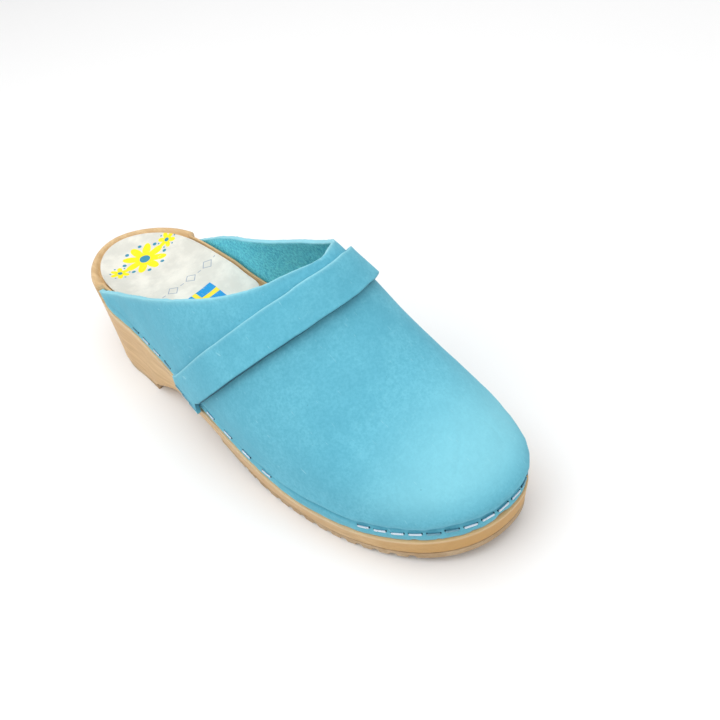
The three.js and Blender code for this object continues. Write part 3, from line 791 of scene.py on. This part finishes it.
def staple_places():
    """The s of each staple along the leather's edge, in the solids' order."""
    marks_s, marks_gone = staple_marks()
    found = []
    for side in (1, -1):
        ends = [0 if side > 0 else 2, float(strap_s(side, STAPLE_T, 0)), float(strap_s(side, STAPLE_T, 1)), 1]
        ends = np.interp(ends, marks_s, marks_gone)
        for run in STAPLE_RUNS:
            start, end = ends[:2] if run["behind"] else ends[2:]
            for share in np.linspace(run["from"], run["to"], run["count"]):
                if side < 0 and share >= 1:
                    continue
                found.append(float(np.interp(start + (end - start) * share, marks_gone, marks_s)))
    return found


def upper_relief(s, t, points):
    """How far the leather stands out over the even form (mm), and the shade painted into its creases."""
    low = leather_point(s, np.zeros_like(t))
    high = np.linalg.norm(points - low, axis=-1)
    marks_s, marks_gone = staple_marks()
    gone = np.interp(s, marks_s, marks_gone)
    held = np.zeros_like(gone)
    for place in np.interp(staple_places(), marks_s, marks_gone):
        held = np.maximum(held, gauss(gone, place, HELD_WIDTH))
    ripple = waves(points, 17, 14, 3)
    fold = gauss(high, FOLD[0] + 0.5 * ripple, FOLD[1])
    relief = -FOLD[2] * fold * (0.55 + 0.45 * held)
    relief += SWELL[2] * gauss(high, SWELL[0] + 0.8 * ripple, SWELL[1]) * (1 - 0.35 * held)
    relief += 0.2 * gauss(high, 2.2, 2) * (1 - held) * waves(points, 9, 10, 5)
    relief += 0.22 * waves(points, 55, 16, 7) * ease(high, 6, 25)
    relief += 0.07 * waves(points, 16, 20, 11) * ease(high, 8, 20)
    for middle, top, reach_up, deep, wide in TOE_CREASES:
        line = middle + 0.02 * np.sin(high / 7 + middle * 40)
        relief -= deep * gauss(s, line, wide) * gauss(high, top, reach_up)
    starts, full, fades, stops = SIDE_FOLD_RUN
    side_fold = gauss(high, *SIDE_FOLD[:2]) * ease(s, starts, full) * ease(s, stops, fades)
    relief -= SIDE_FOLD[2] * side_fold
    # Painted shade in the fold over the staples and in the low side fold.
    painted_shade = np.clip(0.8 * fold * (0.4 + 0.6 * held) + side_fold, 0, 1)
    return relief, painted_shade, high


def make_upper():
    s, up = upper_columns()
    rows = LEATHER_ROWS
    low_rows = 16
    start = MARGIN_SHARE * 1.4
    t = np.empty((len(s), rows))
    t[:, :low_rows] = np.linspace(0, 1, low_rows) * start
    climb = np.linspace(0, 1, rows - low_rows + 1)[1:]
    ends = np.maximum(up, start + 0.004)
    t[:, low_rows:] = start + (ends[:, None] - start) * climb
    t = np.minimum(t, np.maximum(up, 0.012)[:, None])
    s2 = np.broadcast_to(s[:, None], t.shape)
    even = leather_point(s2, t)
    normal = leather_normal(s2, t)
    relief, painted_shade, high = upper_relief(s2, t, even)
    open_edge = np.zeros(len(s), bool)
    open_edge[: COLLAR_COLUMNS + 1] = True
    open_edge[-(COLLAR_COLUMNS + 1) :] = True
    from_edge = np.where(open_edge[:, None], np.linalg.norm(even - even[:, -1:], axis=-1), 99)
    relief = relief * ease(from_edge, 0, 4)
    back = np.minimum(np.abs(s2), np.abs(2 - s2)) * (LENGTH - BACK_OUTER)
    relief = relief * ease(back, 0, 4)
    outside = even + normal * relief[..., None]
    inside = even - normal * (LEATHER - 0.06 * waves(even, 7, 12, 21)[..., None])
    nick = np.zeros(len(s))
    for middle, wide, tall in EDGE_NICKS:
        nick = np.maximum(nick, tall * np.clip(1.4 - 1.4 * np.abs(s - middle) / wide, 0, 1))
    frayed = 0.22 * waves(even[:, 0], 6, 14, 31) + 0.25 + nick
    lifted = frayed[:, None] * gauss(high, 0, 2.2)
    outside[..., 2] += lifted
    inside[..., 2] += lifted
    ragged = 0.16 * waves(even[:, -1], 3.5, 18, 41)
    along_up = even[:, -1] - even[:, -3]
    along_up /= np.maximum(np.linalg.norm(along_up, axis=-1, keepdims=True), 1e-6)
    move = (along_up * (ragged * open_edge)[:, None])[:, None] * gauss(from_edge, 0, 1.2)[..., None]
    outside += move
    inside += move
    count, total = len(s), len(s) * rows
    head = [outside[:, -1] * (1 - a) + inside[:, -1] * a for a in (0.2, 0.8)]
    head = [h + along_up * 0.22 for h in head]
    foot = [outside[:, 0] * (1 - a) + inside[:, 0] * a - np.array([0, 0, 0.12]) for a in (0.2, 0.8)]
    points = np.concatenate([outside.reshape(-1, 3), inside.reshape(-1, 3), *head, *foot])
    head_at = [2 * total, 2 * total + count]
    foot_at = [2 * total + 2 * count, 2 * total + 3 * count]
    faces = [quads(count, rows), quads(count, rows, True, total)]
    slots = [np.zeros(len(faces[0])), np.ones(len(faces[1]))]
    i = np.arange(count - 1)
    opened = i[open_edge[i] & open_edge[i + 1]]
    every = np.arange(count)
    low = every * rows
    top = low + rows - 1
    head_rows = [top, head_at[0] + every, head_at[1] + every, total + top]
    foot_rows = [total + low, foot_at[1] + every, foot_at[0] + every, low]
    strips = [(opened, *pair) for pair in zip(head_rows, head_rows[1:])]
    strips += [(i, *pair) for pair in list(zip(foot_rows, foot_rows[1:]))[::-1]]
    for columns, first, second in strips:
        after = columns + 1
        faces.append(np.stack([first[columns], second[columns], second[after], first[after]], -1))
        slots.append(np.zeros(len(columns)))
    for column in (0, count - 1):
        out = list(range(column * rows, (column + 1) * rows))
        back_in = [total + k for k in out][::-1]
        ring = out + [h + column for h in head_at] + back_in + [f + column for f in foot_at[::-1]]
        half = len(ring) // 2
        for k in range(half - 1):
            faces.append(np.array([[ring[k], ring[k + 1], ring[-k - 2], ring[-k - 1]]]))
            slots.append(np.zeros(1))
    # Painted highlight near the collar's edge and the lower edge, full on the cut faces.
    painted_edge_highlight = np.exp(-from_edge / 0.9) + 0.7 * np.exp(-high / 0.7)
    painted_edge_highlight = np.clip(painted_edge_highlight, 0, 1).ravel()
    edge = np.concatenate([painted_edge_highlight, painted_edge_highlight, np.ones(4 * count)])
    unseen = np.zeros(total + 4 * count)
    # Painted shade in the creases, from upper_relief.
    painted_fold_shade = np.concatenate([painted_shade.ravel(), unseen])
    # Paler over the toe's top and higher up: partly worn leather, partly painted highlight.
    toe_wear_and_highlight = ease(even[..., 1], 198, 238) * ease(high, 9, 24)
    wear_and_highlight = np.concatenate([toe_wear_and_highlight.ravel(), unseen])
    # Painted shadow on the inner half of the leather's lower cut face.
    deep = np.zeros(len(points))
    deep[2 * total + 3 * count :] = 0.7
    values = {"edge": edge, "fold": painted_fold_shade, "wear_and_highlight": wear_and_highlight, "deep": deep}
    piece = make_piece("leather_upper", points, np.concatenate(faces), [NUBUCK, SUEDE],
                       values, np.concatenate(slots), weld=2e-6)
    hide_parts("upper")
    return piece


# The strap
def strap_point(side, up, across, thickness):
    s = strap_s(side, up, across)
    base = leather_point(s, up)
    normal = leather_normal(s, up)
    settle = STRAP_SETTLE * ease(up, 0.02, 0.2)
    hug = STRAP_HUG * waves(base, 60, 8, 51) * ease(up, 0.05, 0.3)
    away = STRAP_GAP + settle + STRAP_LIFT * across**2 + hug + thickness
    return base + normal * away[..., None]


def make_strap():
    span = 26
    ups = np.concatenate([np.linspace(0, 0.1, 14)[:-1], np.linspace(0.1, 1, STRAP_ROWS)])
    face = np.linspace(0, 1, span)
    bite = np.array([0.12, 0.5, 0.88])
    foot_out = CUT_SLANT * np.array([0.35, 0.75, 1])
    ring_across = np.concatenate([face, np.ones(3), face[::-1], -STRAP_CORNER * np.sin(np.pi * bite)])
    slanting = np.concatenate([np.zeros(span), foot_out, np.zeros(span + 3)])
    ring_thick = np.concatenate([np.ones(span), 1 - bite, np.zeros(span), bite]) * STRAP_LEATHER
    halves = []
    for side in (1, -1):
        u, a = np.meshgrid(ups, ring_across, indexing="ij")
        a = a + ease(u, 0.02, 0.14) * slanting
        thick = np.broadcast_to(ring_thick, u.shape)
        halves.append(strap_point(side, u, a, thick))
    rings = np.concatenate([halves[0], halves[1][:-1][::-1]])
    count, around = rings.shape[:2]
    rings += (0.05 * waves(rings, 8, 14, 61))[..., None] * np.array([0, 0, 1.0])
    faces = [quads(count, around, wrap=True)]
    for column in (0, count - 1):
        base = column * around
        top = [base + k for k in range(span)]
        low = [base + span + 3 + k for k in range(span)][::-1]
        for k in range(span - 1):
            faces.append(np.array([[top[k], top[k + 1], low[k + 1], low[k]]]))
        faces.append(np.array([[top[-1], base + span, base + span + 2, low[-1]]]))
        faces.append(np.array([[top[0], low[0], base + 2 * span + 3, base + 2 * span + 5]]))
    across = np.broadcast_to(ring_across, (count, around))
    # Painted highlight along the strap's rear edge and at its ends.
    edge = np.exp(-np.abs(across) / 0.03)
    foot = np.concatenate([ups, ups[:-1][::-1]])
    end = np.exp(-foot / 0.006)[:, None]
    edge = np.clip(edge + 0.7 * end, 0, 1)
    # Painted shade in a band near the strap's foot.
    painted_shade = 0.35 * gauss(foot, 0.03, 0.012)[:, None] * np.ones(around)
    # Painted shadow on the strap's front face and its underside.
    under = np.zeros(around)
    under[span - 1 : 2 * span + 3] = [0.1, 0.9, 1, 1] + [1] * span
    deep = under * ease(foot, -0.02, 0.12)[:, None]
    values = {"edge": edge, "fold": painted_shade, "deep": deep}
    piece = make_piece("leather_strap", rings, np.concatenate(faces), [NUBUCK], values)
    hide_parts("strap")
    return piece


# The wood and the rubber
def long_stations(heel, waist, toe, extra):
    low = HEEL_ROUND * (1 - np.cos(np.pi / 2 * np.arange(heel) / heel))
    middle = HEEL_ROUND + (BALL_OUTER_AT - HEEL_ROUND) * np.arange(waist) / waist
    high = BALL_OUTER_AT + (LENGTH - BALL_OUTER_AT) * np.sin(np.pi / 2 * np.arange(toe + 1) / toe)
    base = np.concatenate([low, middle, high])
    extra = np.asarray(extra, float)
    kept = base[np.min(np.abs(base[:, None] - extra[None, :]), axis=1) > 0.25]
    return np.sort(np.concatenate([kept, extra]))


def lift(flat, z):
    return np.concatenate([flat, np.broadcast_to(np.asarray(z, float), flat.shape[:-1])[..., None]], -1)


def wood_profile(side, y):
    """Points of the block's section on one side at each station, footbed centre to sole centre."""
    inset = rebate_at(side, y)
    spine = wood_spine(y)
    rim = edge_point(side, y, RIM_WIDTH)
    around = SHOULDER + (SHOULDER_INSIDE - SHOULDER) * inset / REBATE
    crest = rim_height(y)
    step = ledge_height(y)
    foot = under_height(y)
    rake = rake_at(y)
    found = []

    def put(inset, z):
        found.append(lift(edge_point(side, y, inset), z))

    for share in np.concatenate([np.linspace(0, 0.8, 10), np.linspace(0.86, 1, 7)]):
        flat = spine + (rim - spine) * share
        found.append(lift(flat, footbed_height(flat)))
    bed = footbed_height(rim)
    for share in (0.25, 0.5, 0.75, 1.0):
        bend = share * share * (3 - 2 * share)
        put(RIM_WIDTH + (inset + around - RIM_WIDTH) * share, bed + (crest - bed) * bend)
    for angle in np.linspace(0, np.pi / 2, 9)[1:]:
        put(inset + around * (1 - np.sin(angle)), crest - around * (1 - np.cos(angle)))
    for share in (0.33, 0.66, 0.97):
        put(inset, crest - around + (step - crest + around) * share)
    put(inset * 0.94, step)
    put(np.minimum(inset, 0.3), step)
    put(np.minimum(inset, 0.08), step - 0.12)
    for share in np.linspace(0, 1, 12):
        drop = share**1.15
        put(rake * share, (step - LEDGE_BEVEL) * (1 - drop) + (foot + EDGE_ROUND) * drop)
    for angle in np.linspace(0, np.pi / 2, 6)[1:]:
        put(rake + EDGE_ROUND * (1 - np.cos(angle)), foot + EDGE_ROUND * (1 - np.sin(angle)))
    sole = edge_point(side, y, rake + EDGE_ROUND)
    for share in (0.15, 0.4, 0.7, 1.0):
        found.append(lift(sole + (spine - sole) * share, foot))
    return np.stack(found, 1)


def ring_mesh(outer, inner):
    """Rings from an outer and an inner half that share their first and last points."""
    return np.concatenate([outer, inner[:, 1:-1][:, ::-1]], 1)


def ring_faces(rings):
    count, around = rings.shape[:2]
    faces = [quads(count, around, wrap=True)]
    for column in (0, count - 1):
        base = column * around
        for k in range(around // 2):
            low, high = base + (around - k) % around, base + around - k - 1
            faces.append(np.array([[base + k, base + k + 1, high, low]]))
    return np.concatenate(faces)


def make_wood():
    moves = np.array([0, 1, 2, REBATE_RUN]) + CLEARANCE
    starts = np.concatenate([BACK_OUTER - moves, BACK_INNER - moves])
    breast = BREAST_AT + np.array([0, 0.3, 1, 2, 3, 4.4, 6])
    y = long_stations(46, 110, 90, np.concatenate([starts, breast]))
    rings = ring_mesh(wood_profile(1, y), wood_profile(-1, y))
    flat = rings.reshape(-1, 3)
    stroke = 0.05 * waves(flat * np.array([1, 0.12, 1]), 5, 12, 71)
    flat = flat + stroke[:, None] * np.array([1, 0, 0])
    crest = rim_height(flat[:, 1])
    # Painted highlight: a pale line on the heel rim's crest and on the ledge round the outline.
    pale = 0.25 * gauss(flat[:, 2], crest - 0.4, 0.8) * (flat[:, 1] < 120)
    step = ledge_height(flat[:, 1])
    pale = np.maximum(pale, gauss(flat[:, 2], step - 0.5, 0.7) * (reach(flat[:, 0], flat[:, 1]) > 0.95))
    ends = ease(flat[:, 1], 195, 240) * (flat[:, 2] < step + 0.5)
    values = {"pale": pale, "ends": ends}
    piece = make_piece("wooden_block", flat, ring_faces(rings), [WOOD], values)
    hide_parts("wooden_sole")
    return piece


def plate_profile(side, y, top, bottom):
    rake = rake_at(y) + CLEARANCE
    spine = wood_spine(y)
    inner = edge_point(side, y, rake + EDGE_ROUND)
    soft = RUBBER_ROUND
    turned = [(1 - np.sin(angle), 1 - np.cos(angle)) for angle in np.linspace(0, np.pi / 2, 4)]
    found = []
    for share in (0, 0.5, 0.85, 1.0):
        found.append(lift(spine + (inner - spine) * share, bottom))
    for out, up in turned:
        found.append(lift(edge_point(side, y, rake + soft * out), bottom + soft * up))
    for up, out in turned:
        found.append(lift(edge_point(side, y, rake + soft * out), top - soft * up))
    for share in (1.0, 0.85, 0.5, 0):
        found.append(lift(spine + (inner - spine) * share, top))
    return np.stack(found, 1)


def make_plate(name, node, y, top, bottom):
    rings = ring_mesh(plate_profile(1, y, top, bottom), plate_profile(-1, y, top, bottom))
    piece = make_piece(name, rings, ring_faces(rings), [RUBBER])
    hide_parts(node)
    return piece


def make_rubber():
    y = long_stations(40, 90, 10, [BREAST_AT])
    y = y[y <= BREAST_AT]
    make_plate("heel_rubber", "heel_lift", y, np.full(len(y), HEEL_RUBBER - 0.02), np.zeros(len(y)))
    ribs = np.arange(RIBS_FROM, RIBS_TO - RIB_PITCH + 0.1, RIB_PITCH)
    bends = RIB_SLOPE * np.array([0, 0.2, 0.5, 0.8, 1])
    extra = np.concatenate([np.concatenate([r + bends, r + RIB_GROOVE + bends]) for r in ribs])
    y = long_stations(10, 110, 80, np.concatenate([[TREAD_FROM], extra]))
    y = y[y >= TREAD_FROM]
    groove = np.zeros(len(y))
    for r in ribs:
        far = r + RIB_GROOVE
        groove = np.maximum(groove, ease(y, r, r + RIB_SLOPE) * ease(y, far + RIB_SLOPE, far))
    top = under_height(y) - CLEARANCE
    make_plate("forefoot_rubber", "forefoot_tread", y, top, top - TREAD_RUBBER + RIB_DEPTH * groove)


# The pad
def make_pad():
    def corner(y):
        past = np.clip(y - (PAD_LENGTH - PAD_CORNER), 0, PAD_CORNER)
        return PAD_CORNER - np.sqrt(PAD_CORNER**2 - past**2)

    front = PAD_LENGTH - PAD_CORNER + PAD_CORNER * np.sin(np.linspace(0, np.pi / 2, 12))
    y = long_stations(40, 90, 10, front)
    y = y[y <= PAD_LENGTH]
    sides = []
    for side in (1, -1):
        spine = wood_spine(y)
        inset = RIM_WIDTH + CLEARANCE + corner(y)
        edge = edge_point(side, y, inset)
        soft = edge_point(side, y, inset + PAD_ROUND)
        found = []
        for share in np.linspace(0, 1, 22):
            flat = spine + (soft - spine) * share
            level = lift(flat, 0)
            wrinkle = 0.12 * waves(level, 13, 14, 81) + 0.07 * waves(level, 5, 12, 83)
            wrinkle *= ease(1 - share, 0, 0.2)
            found.append(lift(flat, footbed_height(flat) + CLEARANCE + PAD_THICKNESS + wrinkle))
        bed = footbed_height(edge) + CLEARANCE
        for angle in np.linspace(0, np.pi / 2, 5)[1:]:
            flat = soft + (edge - soft) * np.sin(angle)
            found.append(lift(flat, bed + PAD_THICKNESS - PAD_ROUND * (1 - np.cos(angle))))
        found.append(lift(edge, bed + 0.1))
        for share in (0.95, 0.5, 0):
            flat = spine + (edge - spine) * share
            found.append(lift(flat, footbed_height(flat) + CLEARANCE))
        sides.append(np.stack(found, 1))
    rings = ring_mesh(*sides)
    piece = make_piece("footbed_pad", rings, ring_faces(rings), [PAD])
    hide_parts("insole_pad")
    return piece


# The staples
def staple_path(point, along, normal):
    """A staple's wire: down into the leather, up over a soft corner, along, and down again."""
    half = STAPLE_LENGTH / 2
    turn = np.linspace(0, np.pi / 2, 4)
    out = np.concatenate([[half], half - STAPLE_BEND * (1 - np.cos(turn)),
                          (half - STAPLE_BEND) * np.array([0.92, 0.3])])
    down = np.concatenate([[STAPLE_LEG], STAPLE_BEND * (1 - np.sin(turn)), [0, 0]])
    out = np.concatenate([-out, out[::-1]])
    down = np.concatenate([down, down[::-1]])
    return point + out[:, None] * along - down[:, None] * normal


def tube(path, across, radius, sides=8):
    """Rings of a flattened wire along a path; across is square to the path everywhere."""
    step = np.gradient(path, axis=0)
    step /= np.linalg.norm(step, axis=1, keepdims=True)
    up = np.cross(across, step)
    turn = np.linspace(0, 2 * np.pi, sides, endpoint=False)
    return (path[:, None] + radius * (1.25 * np.cos(turn)[None, :, None] * across
                                      + 0.85 * np.sin(turn)[None, :, None] * up[:, None]))


def make_staples():
    places = [(s, STAPLE_T, None) for s in staple_places()]
    up = MARGIN_SHARE * STRAP_STAPLE_HEIGHT / MARGIN
    for side in (1, -1):
        for across in STRAP_STAPLES:
            places.append((float(strap_s(side, up, across)), up, (side, across)))
    rng = np.random.default_rng(9)
    points, faces, tones = [], [], []
    offset = 0
    for number, (s, height, on_strap) in enumerate(places):
        s, height = np.float64(s), np.float64(height)
        normal = leather_normal(s, height)
        ahead = leather_point(min(s + STEP, 2), height) - leather_point(max(s - STEP, 0), height)
        along = ahead / np.linalg.norm(ahead)
        across = np.cross(normal, along)
        tilt = rng.uniform(-0.09, 0.09)
        along = along * math.cos(tilt) + across * math.sin(tilt)
        across = np.cross(normal, along)
        if on_strap is None:
            point = leather_point(s, height) + normal * 0.3 + across * rng.uniform(-0.25, 0.25)
        else:
            side, share = on_strap
            point = strap_point(side, height, np.float64(share), np.float64(STRAP_LEATHER)) + normal * 0.15
        rings = tube(staple_path(point, along, normal), across, STAPLE_RADIUS)
        count, around = rings.shape[:2]
        points.append(rings.reshape(-1, 3))
        faces += (quads(count, around, wrap=True) + offset).tolist()
        faces.append([offset + k for k in range(around)][::-1])
        faces.append([offset + (count - 1) * around + k for k in range(around)])
        marked = 0.9 if on_strap or number % DULL_ROUND in DULL_STAPLES else rng.uniform(0, 0.15)
        ring_tone = np.full(count, marked)
        # The end rings get painted shade, standing for the leg holes.
        ring_tone[:3] = ring_tone[-3:] = 2
        tones.append(np.repeat(ring_tone, around))
        offset += count * around
    values = {"tone_and_hole_shade": np.concatenate(tones)}
    piece = make_piece("staple_row", np.concatenate(points), faces, [WIRE], values, weld=1e-7)
    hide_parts(*sorted(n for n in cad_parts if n.startswith("staple_")))
    return piece


# The floor
def make_floor():
    mesh = bpy.data.meshes.new("pale_floor")
    corners = [(-1, -1), (1, -1), (1, 1), (-1, 1)]
    mesh.from_pydata([(x * FLOOR_SIZE, y * FLOOR_SIZE, 0) for x, y in corners], [], [(0, 1, 2, 3)])
    look = Look("floor_paint")
    mesh.materials.append(look.set(color=FLOOR_PAINT, rough=0.9, specular=0.1))
    floor = bpy.data.objects.new("pale_floor", mesh)
    link(floor)


def add_light(name, place, target, size, power):
    data = bpy.data.lights.new(name, "AREA")
    data.shape = "DISK"
    data.size = size
    data.energy = power
    lamp = bpy.data.objects.new(name, data)
    lamp.location = place
    lamp.rotation_mode = "QUATERNION"
    lamp.rotation_quaternion = (Vector(target) - Vector(place)).to_track_quat("-Z", "Y")
    link(lamp)


def make_camera():
    back = np.array([math.sin(AZIMUTH) * math.cos(ELEVATION), -math.cos(AZIMUTH) * math.cos(ELEVATION),
                     math.sin(ELEVATION)])
    right = np.array([math.cos(AZIMUTH), math.sin(AZIMUTH), 0])
    up = np.cross(back, right)
    turned_right = right * math.cos(ROLL) + up * math.sin(ROLL)
    turned_up = -right * math.sin(ROLL) + up * math.cos(ROLL)
    place = (TARGET + back * DISTANCE) * MM + SHIFT
    data = bpy.data.cameras.new("camera")
    data.sensor_width = 36
    data.lens = FOCAL_PIXELS / PHOTO_PIXELS * data.sensor_width
    data.clip_start = 0.01
    camera = bpy.data.objects.new("camera", data)
    axes = np.stack([turned_right, turned_up, back], 1)
    camera.matrix_world = Matrix.Translation(Vector(place)) @ Matrix(axes.tolist()).to_4x4()
    link(camera)
    bpy.context.scene.camera = camera


# Making everything
make_upper()
make_strap()
make_wood()
make_rubber()
make_pad()
make_staples()
make_floor()
add_light("overhead", (0.05, -0.05, 1.2), (0, 0, 0), 1.5, 10.6)
add_light("side", (0.7, -0.2, 0.85), (0, 0, 0.05), 0.8, 2.3)
add_light("front", (-0.3, 0.9, 1.1), (0, 0.02, 0.03), 1.2, 2.1)
world = bpy.data.worlds.new("studio")
world.use_nodes = True
background = world.node_tree.nodes["Background"].inputs
background["Color"].default_value = (1, 1, 1, 1)
background["Strength"].default_value = WORLD_STRENGTH
bpy.context.scene.world = world
bpy.context.scene.view_settings.view_transform = "Standard"
make_camera()
